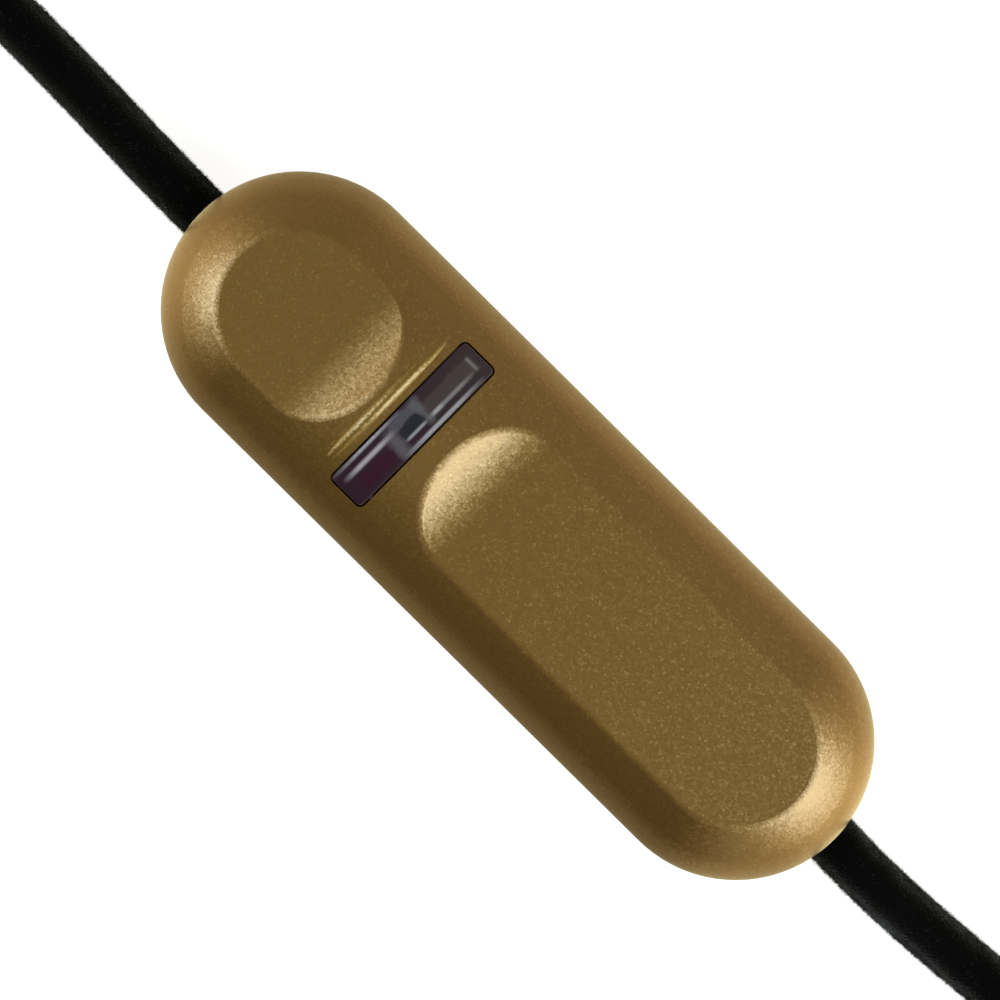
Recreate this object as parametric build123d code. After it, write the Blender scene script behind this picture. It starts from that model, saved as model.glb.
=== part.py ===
from build123d import *
import math
import os

# Inline cord dimmer: a slim stadium-shaped housing in a lamp's cord, with two
# flat touch pads sunk in its arched cover, a smoky lens on the hump between
# them and a raised rib beside the lens. A mains lead with a two-pin plug
# leaves one end, a lamp lead with stripped ends leaves the other.
# Millimetres. Origin: centre of the underside. +X runs along the housing
# towards the long pad, +Z is up.

# Housing
end_spacing = 70.6  # between the centres of the two round ends
body_width = 32.0
body_height = 22.0
cover_height = 13.0  # from the plane where the two covers meet to the crown
crown_radius = 22.0  # arch of the cover across the housing
shoulder_radius = 7.0  # between the arch and the upright side
base_rounding = 3.0
cover_wall = 1.8
base_wall = 2.0
base_inner_rounding = 1.5

# Lip that locates the covers on each other
lip_thickness = 0.8
lip_height = 1.4
lip_gap = 0.1

# Touch pads
pad_half_width = 9.3
pad_edge_rounding = 1.8
scoop_run = 7.35  # how far each pad curves up to the hump
round_pad_apex = -22.65
long_pad_apex = -11.3
pad_cut_margin = 1.0

# Lens on the hump, and the rib beside it
lens_x = -16.9
lens_width = 4.8
lens_length = 21.8
lens_corner = 0.6
lens_proud = 0.2
lens_edge_rounding = 0.3
lens_gap = 0.2
lens_roof = 1.2
flange_ledge = 0.8
flange_thickness = 0.8
flange_gap = 0.05
pocket_width = 2.0
pocket_middle = 4.2
pocket_web = 1.0
pocket_end_wall = 1.3
rib_x = -21.0
rib_radius = 0.9
rib_proud = 0.45
rib_half_length = 8.8
rib_arch_radius = 19.0  # of its top, which sinks into the cover towards its ends

# Cord
cord_diameter = 6.2
cord_hole_radius = 3.5
cord_mouth = 0.3
cord_seat_gap = 0.05

# Circuit board
board_length = 52.0
board_side_room = 3.5  # from its long edges to the outside of the housing
board_thickness = 1.6
component_room = 11.0  # from the board up to the inside of the pads
board_corner = 1.5
standoff_x = 22.0
standoff_side_room = 3.0  # from each axis to the board's long edge
standoff_radius = 2.0
standoff_pin_radius = 0.8
pin_hole_gap = 0.1

# Housing screws, driven from below
screw_x = 30.0
screw_side_room = 6.5  # from each axis to the outside of the housing
screw_radius = 1.4
screw_head_radius = 2.7
screw_head_height = 1.8
screw_seat = 3.6  # height that the head bears on
screw_length = 11.0
screw_gap = 0.1
head_gap = 0.35
cross_recess_depth = 1.0
base_boss_radius = 3.9
cover_boss_radius = 3.0

# Cord clamps
clamp_x = 40.0
clamp_side_room = 7.0  # from its ends to the outside of the housing
clamp_bar_width = 6.0
clamp_bar_corner = 2.0
clamp_saddle_drop = 1.0  # below the cord's axis
clamp_bar_lift = 0.8  # above the cord's axis
clamp_bar_height = 3.8
clamp_screw_inset = 2.7  # from the bar's end
clamp_screw_radius = 1.3
clamp_head_radius = 2.2
clamp_head_height = 1.6
clamp_screw_depth = 6.0
sheath_end_x = 36.5

# Terminals
terminal_length = 7.3
terminal_width = 10.0
terminal_height = 8.6
terminal_pitch = 5.0
terminal_outer_x = 25.5
terminal_shift = -1.7
wire_hole_radius = 1.4
wire_hole_depth = 6.0
terminal_screw_radius = 1.6
terminal_screw_height = 3.2
terminal_well_gap = 0.1
wire_end_inset = 4.0

# Wires inside the cord, and how far they run straight at each end
core_radius = 1.1
core_spread = 1.4  # each core's distance from the cord's axis
core_straight = 3.9
core_lead_in = 1.1

# Touch sensing
plate_thickness = 0.3
round_plate_radius = 8.2
round_plate_edge = -30.4
long_plate_half_width = 6.6
plate_clearance = 0.3
long_plate_start = -3.3
long_plate_end = 43.2
leaf_thickness = 0.3
leaf_width = 2.6
leaf_bend = 1.2
round_leaf_x = [-19.5, -24.0, -31.6, -33.2, -35.0]  # from its foot on the board to its free end
long_leaf_x = [3.4, 7.5, 11.0, 12.4, 14.2]
round_leaf_y = 4.9
long_leaf_y = -1.6
leaf_bow = 2.0  # how far below the foil it starts to flatten
leaf_tail = 1.6  # how far its free end dips

# Power switch on its heat sink
sink_length = 17.0
sink_width = 10.4
sink_thickness = 1.2
sink_x = -5.6
switch_x = -7.6  # where its body starts, beside the tab
switch_y = -6.4
switch_length = 8.8
switch_width = 10.0
switch_thickness = 4.3
switch_leg_pitch = 2.54
tab_length = 6.0
tab_hole_radius = 1.8

# Choke, a wound drum
choke_x = 9.6
choke_side_room = 6.1  # from its axis to the board's long edge
choke_radius = 5.0
choke_height = 9.0
choke_flange = 1.2
choke_core_radius = 2.4
choke_wire = 1.1

# Smaller parts on the board, and how far each stands from the board's long edge
can_x = 14.4
can_side_room = 4.3
can_radius = 3.15
can_height = 8.6
fuse_start = -25.4
fuse_end = -17.4
fuse_side_room = 0.3
fuse_width = 3.8
fuse_height = 7.4
chip_x = 7.9
chip_side_room = 4.25
chip_length = 5.0
chip_width = 3.9
chip_leg_pitch = 1.27
film_start = -13.0
film_end = 0.0
film_near = 5.8
film_far = 11.4
film_height = 8.6
diode_x = 21.4
diode_side_rooms = [5.9, 2.3]
diode_length = 5.0
diode_radius = 1.3
resistor_x = -7.0
resistor_rows = [1.0, 4.0]
resistor_length = 6.0
resistor_radius = 1.15

# Indicator
led_length = 3.8
led_width = 1.8
led_height = 3.7
led_depth = 1.7  # its top below the crown
led_lead_size = 0.5
led_lead_pitch = 2.54

# Plug
pin_radius = 2.0
pin_length = 19.0
pin_spacing = 18.6
pin_root = 6.0
sleeve_length = 10.0
sleeve_radius = 1.7
sleeve_wall = 0.3
plug_width = 35.3
plug_flat = 26.0
plug_thickness = 13.7
plug_length = 33.0
plug_front = 3.0
plug_rear_width = 15.0
plug_rear_thickness = 11.5
plug_waist_width = 23.0
plug_waist_at = 22.0
relief_length = 24.0
relief_front_radius = 5.0
relief_rear_radius = 3.7
relief_grooves = 5
relief_groove_depth = 0.5
relief_groove_width = 1.6
relief_socket = 2.0

# Hanks of the put-away cord, one beyond each end
fold_radius = 3.0 * cord_diameter
tie_thickness = 0.8
tie_width = 9.0
hank_rounding = 3.0
line_hank_near = 122.0  # x of the near fold's centre
line_hank_run = 100.0
line_hank_layers = 4
lamp_hank_near = 115.0
lamp_hank_run = 20.0
lamp_hank_layers = 2
line_tie_at = 30.0
lamp_tie_at = 13.0
plug_sink = 2.75  # the plug's axis above the hank that it lies in
plug_face_x = 225.0  # how far out the plug's face lies

# Routes of the cord's tubes, from the stripped end inside to the hank
line_route = [
    (-36.5, 0.0, 9.0),
    (-56.0, 0.0, 9.0),
    (-72.0, 0.5, 3.8),
    (-88.0, 0.6, 3.1),
    (-103.0, 0.3, 3.1),
]
lamp_route = [
    (36.5, 0.0, 9.0),
    (46.0, 0.0, 9.0),
    (57.0, -0.55, 8.7),
    (70.0, -0.1, 4.0),
    (84.0, 1.2, 3.1),
    (97.0, 2.2, 3.1),
]

# Stripped ends of the lamp lead
sheath_run = 7.5  # how far the sheath goes on past the near fold
lead_length = 22.0
lead_gap = 0.05
lead_splay = 0.7
ferrule_length = 8.0
ferrule_radius = 0.9

# What follows from the sizes above
half_width = body_width / 2
half_spacing = end_spacing / 2
body_end = half_spacing + half_width
crown_centre = body_height - crown_radius
shoulder_y = half_width - shoulder_radius
shoulder_z = crown_centre + math.sqrt((crown_radius - shoulder_radius) ** 2 - shoulder_y**2)
shoulder_angle = math.degrees(math.atan2(shoulder_z - crown_centre, shoulder_y))
pad_floor = crown_centre + math.sqrt(crown_radius**2 - pad_half_width**2)
pad_rise = body_height - pad_floor
scoop_radius = (scoop_run**2 + pad_rise**2) / (2 * pad_rise)
cord_radius = cord_diameter / 2
parting_height = body_height - cover_height
cord_height = parting_height
wire_height = cord_height
inner_pad = pad_floor - cover_wall
plate_bottom = inner_pad - plate_thickness
board_top = inner_pad - component_room
board_height = board_top - board_thickness
board_width = body_width - 2 * board_side_room
board_side = board_width / 2
standoff_y = board_side - standoff_side_room
choke_y = board_side - choke_side_room
screw_y = half_width - screw_side_room
clamp_bar_length = body_width - 2 * clamp_side_room
clamp_screw_y = clamp_bar_length / 2 - clamp_screw_inset
clamp_saddle_top = cord_height - clamp_saddle_drop
clamp_bar_bottom = cord_height + clamp_bar_lift
clamp_bar_top = clamp_bar_bottom + clamp_bar_height
led_top = body_height - led_depth
led_base = led_top - led_height
pin_core_radius = sleeve_radius - sleeve_wall


def stadium(spacing, radius, bottom, top):
    """An upright stadium-shaped block."""
    return Pos(0, 0, bottom) * extrude(SlotCenterToCenter(spacing, 2 * radius), amount=top - bottom)


def block(x0, x1, y0, y1, z0, z1):
    """A box between two corners."""
    return Pos((x0 + x1) / 2, (y0 + y1) / 2, (z0 + z1) / 2) * Box(x1 - x0, y1 - y0, z1 - z0)


def post(x, y, radius, bottom, top):
    """An upright cylinder."""
    return Pos(x, y, (bottom + top) / 2) * Cylinder(radius, top - bottom)


def rod(x0, x1, y, z, radius):
    """A cylinder along X."""
    return Pos((x0 + x1) / 2, y, z) * Rot(0, 90, 0) * Cylinder(radius, abs(x1 - x0))


def half_section(inset, bottom):
    """Half of the arched section, as edges in the plane of (distance from the axis, height)."""
    crown = crown_radius - inset
    shoulder = shoulder_radius - inset
    side = half_width - inset
    return [
        Line((0, bottom), (side, bottom)),
        Line((side, bottom), (side, shoulder_z)),
        CenterArc((shoulder_y, shoulder_z), shoulder, 0, shoulder_angle),
        CenterArc((0, crown_centre), crown, shoulder_angle, 90 - shoulder_angle),
        Line((0, crown_centre + crown), (0, bottom)),
    ]


def dome(inset, bottom):
    """The arched housing without its pads."""
    half = make_face(half_section(inset, bottom))
    whole = half + mirror(half, Plane.YZ)
    middle = Pos(-half_spacing, 0, 0) * extrude(Plane.YZ * whole, amount=end_spacing)
    turned = revolve(Plane.XZ * half, Axis.Z)
    return middle + Pos(half_spacing, 0, 0) * turned + Pos(-half_spacing, 0, 0) * turned


def pad_cut(apex, way, inset):
    """What a pad takes away: above its flat floor and the scoop up to the hump. way is the pad's side."""
    floor_end = apex + way * scoop_run
    far = way * (body_end + pad_cut_margin)
    top = body_height + pad_cut_margin
    radius = scoop_radius + inset
    centre = pad_floor + scoop_radius
    sweep_angle = math.degrees(math.acos((centre - top) / radius))
    reach = radius * math.sin(math.radians(sweep_angle))
    outline = [
        Line((far, top), (far, pad_floor - inset)),
        Line((far, pad_floor - inset), (floor_end, pad_floor - inset)),
        CenterArc((floor_end, centre), radius, 270, -way * sweep_angle),
        Line((floor_end - way * reach, top), (far, top)),
    ]
    return extrude(Plane.XZ * make_face(outline), amount=body_width, both=True)


def crown_form(inset, bottom):
    """The housing's arched form with both pads, moved inwards by inset."""
    form = dome(inset, bottom)
    form -= pad_cut(round_pad_apex, -1, inset)
    form -= pad_cut(long_pad_apex, 1, inset)
    return form


def ring_wall(outer, inner, bottom, top):
    """A stadium-shaped wall between two radii."""
    return stadium(end_spacing, outer, bottom, top) - stadium(end_spacing, inner, bottom, top)


def cord_exits():
    """The round holes for the cord on the parting plane, with their widened mouths."""
    holes = rod(-body_end - 1, -half_spacing - shoulder_radius, 0, cord_height, cord_hole_radius)
    holes += rod(half_spacing + shoulder_radius, body_end + 1, 0, cord_height, cord_hole_radius)
    for way in (-1, 1):
        mouth = Cone(cord_hole_radius + cord_mouth, cord_hole_radius, 2 * cord_mouth)
        turned = Rot(0, -90 * way, 0) * mouth
        holes += Pos(way * (body_end - cord_mouth / 2), 0, cord_height) * turned
    return holes


def crown_shell(outer, inner, width, length, corner):
    """A bar across the hump that follows the arch, between two radii of the arch."""
    plan = RectangleRounded(width, length, corner)
    bar = Pos(lens_x, 0, parting_height) * extrude(plan, amount=body_height)
    arch = Pos(lens_x, 0, crown_centre) * Rot(0, 90, 0) * Cylinder(outer, 2 * width)
    arch -= Pos(lens_x, 0, crown_centre) * Rot(0, 90, 0) * Cylinder(inner, 2 * width)
    return bar & arch


def tactile_rib():
    """The raised rib on the hump, which sinks into the arch towards its round ends."""
    path_radius = rib_arch_radius - rib_radius
    centre_z = body_height + rib_proud - rib_arch_radius
    half_angle = math.degrees(math.asin(rib_half_length / path_radius))
    axis = Axis((0, 0, centre_z), (1, 0, 0))
    disc = Plane.XZ * (Pos(rib_x, centre_z + path_radius) * Circle(rib_radius))
    start = disc.rotate(axis, -half_angle)
    rib = revolve(start, axis, 2 * half_angle)
    for way in (-1, 1):
        angle = math.radians(way * half_angle)
        y = path_radius * math.sin(angle)
        z = centre_z + path_radius * math.cos(angle)
        rib += Pos(rib_x, y, z) * Sphere(rib_radius)
    return rib


def corners(x, y):
    """The four places at plus and minus x and y."""
    return [(sx * x, sy * y) for sx in (-1, 1) for sy in (-1, 1)]


def is_pad_edge(edge):
    """Whether an edge of the outer form bounds a pad."""
    box = edge.bounding_box()
    high = box.min.Z > pad_floor - 0.01
    crest = box.max.Z > pad_floor + 0.5
    flat_side = box.size.X > scoop_run and abs(box.min.Y) > pad_half_width - 0.1
    round_end = abs(edge.center().X) > half_spacing
    return high and (crest or flat_side or round_end)


def top_cover():
    """The one-piece cover, with its pads, window, rib, rim and screw bosses."""
    form = crown_form(0, parting_height)
    edges = [e for e in form.edges() if is_pad_edge(e) and not is_floor_line(e)]
    form = fillet(edges, pad_edge_rounding)
    shell = form - crown_form(cover_wall, parting_height - 1)
    rebate = half_width - base_wall + lip_thickness + lip_gap
    shell -= stadium(end_spacing, rebate, parting_height - 1, parting_height + lip_height + lip_gap)
    inside = crown_form(cover_wall / 2, parting_height)
    for x, y in corners(screw_x, screw_y):
        shell += post(x, y, cover_boss_radius, parting_height, body_height) & inside
    for x, y in corners(screw_x, screw_y):
        top = screw_seat + screw_length + 1
        shell -= post(x, y, screw_radius + screw_gap, parting_height - 1, top)
    window = RectangleRounded(lens_width + 2 * lens_gap, lens_length + 2 * lens_gap, lens_corner + lens_gap)
    shell -= Pos(lens_x, 0, parting_height) * extrude(window, amount=body_height)
    shell += tactile_rib()
    return shell - cord_exits()


def is_floor_line(edge):
    """Whether an edge is the smooth line where a pad's floor turns up into its scoop."""
    box = edge.bounding_box()
    return box.size.X < 0.01 and box.size.Z < 0.01


def bottom_cover():
    """The lower shell: rounded tray with a lip, screw columns, board standoffs and cord saddles."""
    outer = stadium(end_spacing, half_width, 0, parting_height)
    outer = fillet(outer.edges().group_by(Axis.Z)[0], base_rounding)
    hollow = stadium(end_spacing, half_width - base_wall, base_wall, parting_height + 1)
    hollow = fillet(hollow.edges().group_by(Axis.Z)[0], base_inner_rounding)
    tray = outer - hollow
    inner = half_width - base_wall
    tray += ring_wall(inner + lip_thickness, inner, parting_height - 0.5, parting_height + lip_height)
    for x, y in corners(screw_x, screw_y):
        tray += post(x, y, base_boss_radius, base_wall / 2, parting_height) & outer
    for x, y in corners(standoff_x, standoff_y):
        tray += post(x, y, standoff_radius, base_wall / 2, board_height)
        tray += post(x, y, standoff_pin_radius, board_height - 1, board_top)
    for way in (-1, 1):
        saddle = RectangleRounded(clamp_bar_width, clamp_bar_length, clamp_bar_corner)
        tall = clamp_saddle_top - base_wall / 2
        tray += Pos(way * clamp_x, 0, base_wall / 2) * extrude(saddle, amount=tall)
    tray -= rod(-body_end, -sheath_end_x, 0, cord_height, cord_radius + cord_seat_gap)
    tray -= rod(sheath_end_x, body_end, 0, cord_height, cord_radius + cord_seat_gap)
    for x, y in corners(clamp_x, clamp_screw_y):
        depth = clamp_saddle_top - clamp_screw_depth
        tray -= post(x, y, clamp_screw_radius + screw_gap, depth, parting_height)
    for x, y in corners(screw_x, screw_y):
        tray -= post(x, y, screw_head_radius + head_gap, -1, screw_seat)
        tray -= post(x, y, screw_radius + 2 * screw_gap, 0, parting_height + 1)
    return tray - cord_exits()


def indicator_lens():
    """The smoky bar on the hump: it follows the arch, and has a flange inside and three pockets below."""
    outer = crown_radius + lens_proud
    inner = crown_radius - cover_wall - flange_gap
    bar = crown_shell(outer, inner - flange_thickness, lens_width, lens_length, lens_corner)
    rim = [e for e in bar.edges() if e.bounding_box().min.Z > crown_centre + 0.84 * outer and is_rim(e, outer)]
    bar = fillet(rim, lens_edge_rounding)
    ledge = 2 * flange_ledge
    bar += crown_shell(
        inner, inner - flange_thickness, lens_width + ledge, lens_length + ledge, lens_corner + flange_ledge
    )
    side = (lens_length - 2 * pocket_end_wall - pocket_middle - 2 * pocket_web) / 2
    spans = [
        (-pocket_middle / 2, pocket_middle / 2),
        (pocket_middle / 2 + pocket_web, pocket_middle / 2 + pocket_web + side),
        (-pocket_middle / 2 - pocket_web - side, -pocket_middle / 2 - pocket_web),
    ]
    roof = Pos(lens_x, 0, crown_centre) * Rot(0, 90, 0) * Cylinder(outer - lens_roof, 2 * lens_width)
    for low, high in spans:
        plan = RectangleRounded(pocket_width, high - low, pocket_width / 3)
        well = Pos(lens_x, (low + high) / 2, parting_height) * extrude(plan, amount=body_height)
        bar -= well & roof
    return bar


def is_rim(edge, radius):
    """Whether an edge lies on the lens's outer arch."""
    point = edge @ 0.5
    return abs(math.hypot(point.Y, point.Z - crown_centre) - radius) < 0.01


def indicator_led():
    """The oval light under the lens."""
    plan = SlotOverall(led_length, led_width, rotation=90)
    body = Pos(lens_x, 0, led_base) * extrude(plan, amount=led_top - led_base)
    return fillet(body.edges().group_by(Axis.Z)[-1], led_width / 4)


def led_leads():
    """The light's two legs, down to the board."""
    legs = []
    for way in (-1, 1):
        y = way * led_lead_pitch / 2
        half = led_lead_size / 2
        legs.append(block(lens_x - half, lens_x + half, y - half, y + half, board_top, led_base))
    return legs


def circuit_board():
    """The board on its standoffs."""
    plan = RectangleRounded(board_length, board_width, board_corner)
    board = Pos(0, 0, board_height) * extrude(plan, amount=board_thickness)
    for x, y in corners(standoff_x, standoff_y):
        board -= post(x, y, standoff_pin_radius + pin_hole_gap, 0, board_top + 1)
    return board


def clear_of_bosses(foil):
    """A foil notched round the cover's screw bosses."""
    for x, y in corners(screw_x, screw_y):
        foil -= post(x, y, cover_boss_radius + plate_clearance, 0, body_height)
    return foil


def round_touch_plate():
    """The sensing foil under the round pad."""
    disc = post(-half_spacing, 0, round_plate_radius, plate_bottom, inner_pad)
    keep = block(-body_end, round_plate_edge, -half_width, half_width, 0, body_height)
    return clear_of_bosses(disc & keep)


def long_touch_plate():
    """The sensing foil under the long pad."""
    length = long_plate_end - long_plate_start
    plan = SlotOverall(length, 2 * long_plate_half_width)
    middle = (long_plate_start + long_plate_end) / 2
    return clear_of_bosses(Pos(middle, 0, plate_bottom) * extrude(plan, amount=plate_thickness))


def leaf_contact(points, y):
    """A bent strip that carries the signal from a foil to the board."""
    path = FilletPolyline(*points, radius=leaf_bend)
    strip = extrude(Plane.XZ * trace(path, leaf_thickness), amount=leaf_width / 2, both=True)
    return Pos(0, y, 0) * strip


def leaf_points(stations):
    """The bends of a strip, from its foot on the board to its free end below the foil."""
    low = board_top + leaf_thickness / 2
    high = plate_bottom - leaf_thickness / 2
    heights = [low, low, high - leaf_bow, high, high - leaf_tail]
    return list(zip(stations, heights))


def round_touch_contact():
    """The strip under the round pad."""
    return leaf_contact(leaf_points(round_leaf_x), round_leaf_y)


def long_touch_contact():
    """The strip under the long pad."""
    return leaf_contact(leaf_points(long_leaf_x), long_leaf_y)


def heat_sink():
    """The aluminium plate under the power switch."""
    plan = RectangleRounded(sink_length, sink_width, 0.8)
    return Pos(sink_x, switch_y, board_top) * extrude(plan, amount=sink_thickness)


def power_switch():
    """The power semiconductor: a moulded body on a metal tab with three legs."""
    base = board_top + sink_thickness
    side = switch_width / 2
    end = switch_x + switch_length
    body = block(switch_x, end, switch_y - side, switch_y + side, base, base + switch_thickness)
    body = chamfer(body.edges().group_by(Axis.Z)[-1], 0.8)
    tab_side = side - 0.2
    tab = block(switch_x - tab_length, switch_x, switch_y - tab_side, switch_y + tab_side, base, base + 1.3)
    tab -= post(switch_x - tab_length / 2, switch_y, tab_hole_radius, base - 1, base + 2)
    return body + tab


def power_switch_legs():
    """The three legs, bent down to the board."""
    legs = []
    for k in (-1, 0, 1):
        y = switch_y + switch_leg_pitch * k
        start = switch_x + switch_length
        height = board_top + sink_thickness + 2.0
        path = FilletPolyline((start, height), (start + 2.4, height), (start + 2.4, board_top), radius=0.8)
        legs.append(Pos(0, y, 0) * extrude(Plane.XZ * trace(path, 0.5), amount=0.4, both=True))
    return legs


def choke_core():
    """A ferrite drum."""
    low = choke_flange
    high = choke_height - choke_flange
    outline = [
        (0, 0), (choke_radius, 0), (choke_radius, low), (choke_core_radius, low),
        (choke_core_radius, high), (choke_radius, high), (choke_radius, choke_height), (0, choke_height),
    ]
    drum = revolve(Plane.XZ * make_face(Polyline(*outline, close=True)), Axis.Z)
    return Pos(choke_x, choke_y, board_top) * drum


def choke_winding():
    """The wire on the drum, with the ripple of its layers."""
    height = choke_height - 2 * choke_flange
    outer = choke_radius - 0.4
    ring = Cylinder(outer, height) - Cylinder(choke_core_radius, height)
    turns = int(height / choke_wire)
    for k in range(turns):
        at = (k - (turns - 1) / 2) * choke_wire
        ring -= Pos(0, 0, at) * Torus(outer + 0.35, 0.5)
    return Pos(choke_x, choke_y, board_top + choke_height / 2) * ring


def film_capacitor():
    """The suppression capacitor's moulded box."""
    box = block(film_start, film_end, film_near, film_far, board_top, board_top + film_height)
    return fillet(box.edges().filter_by(Axis.Z), 0.8)


def electrolytic_capacitor():
    """The supply capacitor's can, with its rolled groove."""
    radius = can_radius
    top = can_height
    outline = [
        (0, 0), (radius - 0.15, 0), (radius, 0.4), (radius, 1.4), (radius - 0.35, 1.8),
        (radius, 2.2), (radius, top - 0.4), (radius - 0.25, top), (0, top),
    ]
    can = revolve(Plane.XZ * make_face(Polyline(*outline, close=True)), Axis.Z)
    return Pos(can_x, can_side_room - board_side, board_top) * can


def fuse():
    """The small moulded fuse."""
    edge = fuse_side_room - board_side
    box = block(fuse_start, fuse_end, edge, edge + fuse_width, board_top, board_top + fuse_height)
    return fillet(box.edges().filter_by(Axis.Z), 1.4)


def control_chip():
    """The touch controller, with its eight gull-wing legs."""
    middle = chip_side_room - board_side
    side = chip_width / 2
    half = chip_length / 2
    body = block(chip_x - half, chip_x + half, middle - side, middle + side, board_top + 0.2, board_top + 1.6)
    body = chamfer(body.edges().group_by(Axis.Z)[-1], 0.3)
    for k in range(4):
        x = chip_x + chip_leg_pitch * (k - 1.5)
        for way in (-1, 1):
            y = middle + way * side
            reach = y + way * 1.0
            low, high = sorted((y - way * 0.2, reach))
            body += block(x - 0.2, x + 0.2, low, high, board_top + 0.6, board_top + 0.8)
            low, high = sorted((reach - way * 0.2, reach))
            body += block(x - 0.2, x + 0.2, low, high, board_top, board_top + 0.7)
    return body


def axial_part(x, y, body_length, body_radius, waist):
    """A resistor or diode lying on the board, with its legs bent down."""
    height = board_top + body_radius
    half = body_length / 2
    body = rod(x - half, x + half, y, height, body_radius)
    body = fillet(body.edges().filter_by(GeomType.CIRCLE), body_radius / 3)
    body -= rod(x - half / 2, x + half / 2, y, height, body_radius + 1) - rod(
        x - half / 2, x + half / 2, y, height, body_radius - waist
    )
    for way in (-1, 1):
        reach = x + way * (half + 1.2)
        low, high = sorted((x + way * (half - 0.4), reach))
        body += rod(low, high, y, height, 0.3)
        body += post(reach, y, 0.3, board_top, height)
    return body


def resistors():
    """The dropping and sensing resistors."""
    return [axial_part(resistor_x, y, resistor_length, resistor_radius, 0.15) for y in resistor_rows]


def diodes():
    """The supply's two diodes."""
    return [axial_part(diode_x, board_side - room, diode_length, diode_radius, 0.05) for room in diode_side_rooms]


def pole_places(way):
    """Where a terminal's two wires go in."""
    return [terminal_shift + k * terminal_pitch / 2 for k in (-1, 1)]


def terminal_block(way):
    """A two-pole screw terminal, open to the wires at its outer face."""
    outer = way * terminal_outer_x
    inner = way * (terminal_outer_x - terminal_length)
    low, high = sorted((outer, inner))
    side = terminal_width / 2
    top = board_top + terminal_height
    body = block(low, high, terminal_shift - side, terminal_shift + side, board_top, top)
    body = chamfer(body.edges().group_by(Axis.Z)[-1], 0.6)
    for y in pole_places(way):
        depth = way * (terminal_outer_x - wire_hole_depth)
        body -= rod(min(outer, depth), max(outer, depth), y, wire_height, wire_hole_radius)
        well = terminal_screw_radius + terminal_well_gap
        body -= post(way * (terminal_outer_x - terminal_length / 2), y, well, wire_height, top + 1)
    return body


def slotted_screw(x, y, parts, slot_width, slot_depth):
    """An upright screw from (radius, bottom, top) steps, the last one its head."""
    screw = None
    for radius, bottom, top in parts:
        step = post(x, y, radius, bottom, top)
        screw = step if screw is None else screw + step
    radius, bottom, top = parts[-1]
    half = slot_width / 2
    return screw - block(x - radius, x + radius, y - half, y + half, top - slot_depth, top + 1)


def terminal_screws():
    """The four screws that hold the wires."""
    screws = []
    bottom = wire_height + core_radius
    for way in (-1, 1):
        for y in pole_places(way):
            x = way * (terminal_outer_x - terminal_length / 2)
            parts = [(terminal_screw_radius, bottom, bottom + terminal_screw_height)]
            screws.append(slotted_screw(x, y, parts, 0.6, 0.8))
    return screws


def cord_clamp(way):
    """The bar that grips a cord on its saddle."""
    plan = RectangleRounded(clamp_bar_width, clamp_bar_length, clamp_bar_corner)
    tall = clamp_bar_top - clamp_bar_bottom
    bar = Pos(way * clamp_x, 0, clamp_bar_bottom) * extrude(plan, amount=tall)
    bar = fillet(bar.edges().group_by(Axis.Z)[-1], 0.5)
    low, high = sorted((way * sheath_end_x, way * body_end))
    bar -= rod(low, high, 0, cord_height, cord_radius + cord_seat_gap)
    for side in (-1, 1):
        hole = clamp_screw_radius + screw_gap
        bar -= post(way * clamp_x, side * clamp_screw_y, hole, 0, body_height)
    return bar


def clamp_screws():
    """The four screws of the cord clamps."""
    screws = []
    for x, y in corners(clamp_x, clamp_screw_y):
        shank = (clamp_screw_radius, clamp_saddle_top - clamp_screw_depth, clamp_bar_top)
        head = (clamp_head_radius, clamp_bar_top, clamp_bar_top + clamp_head_height)
        screws.append(slotted_screw(x, y, [shank, head], 0.7, 0.8))
    return screws


def housing_screws():
    """The four screws that hold the covers together, with cross recesses below."""
    screws = []
    for x, y in corners(screw_x, screw_y):
        screw = post(x, y, screw_radius, screw_seat, screw_seat + screw_length)
        head = post(x, y, screw_head_radius, screw_seat - screw_head_height, screw_seat)
        screw += fillet(head.edges().group_by(Axis.Z)[0], 0.5)
        low = screw_seat - screw_head_height - 1
        high = screw_seat - screw_head_height + cross_recess_depth
        screw -= block(x - 1.5, x + 1.5, y - 0.35, y + 0.35, low, high)
        screw -= block(x - 0.35, x + 0.35, y - 1.5, y + 1.5, low, high)
        screws.append(screw)
    return screws


def bend_radii(points):
    """The arc at each corner of a route: 0.45 of the shorter run over the tangent of half the turn."""
    radii = []
    for a, b, c in zip(points, points[1:], points[2:]):
        before = Vector(*b) - Vector(*a)
        after = Vector(*c) - Vector(*b)
        turn = math.radians(before.get_angle(after))
        radii.append(0.45 * min(before.length, after.length) / math.tan(turn / 2))
    return radii


def tube(points, radius, name):
    """A round tube along a route of straight runs and tangent arcs."""
    radii = bend_radii(points)
    path = FilletPolyline(*points, radius=radii)
    print(name, "bend radii", [round(r, 1) for r in radii], "length", round(path.length, 1))
    start = Plane(origin=path @ 0, z_dir=path % 0)
    swept = sweep(start * Circle(radius), path=path)
    print(name, "volume", round(swept.volume, 1), "of", round(math.pi * radius**2 * path.length, 1))
    return swept


def inner_core(way, side, name):
    """A core from the stripped cord to its terminal."""
    y = pole_places(way)[0 if side < 0 else 1]
    start = side * core_spread
    end = way * (terminal_outer_x - wire_end_inset)
    points = [
        (way * sheath_end_x, start, wire_height),
        (way * (sheath_end_x - core_straight), start, wire_height),
        (way * (terminal_outer_x + core_lead_in), y, wire_height),
        (end, y, wire_height),
    ]
    return tube(points, core_radius, name)


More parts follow.
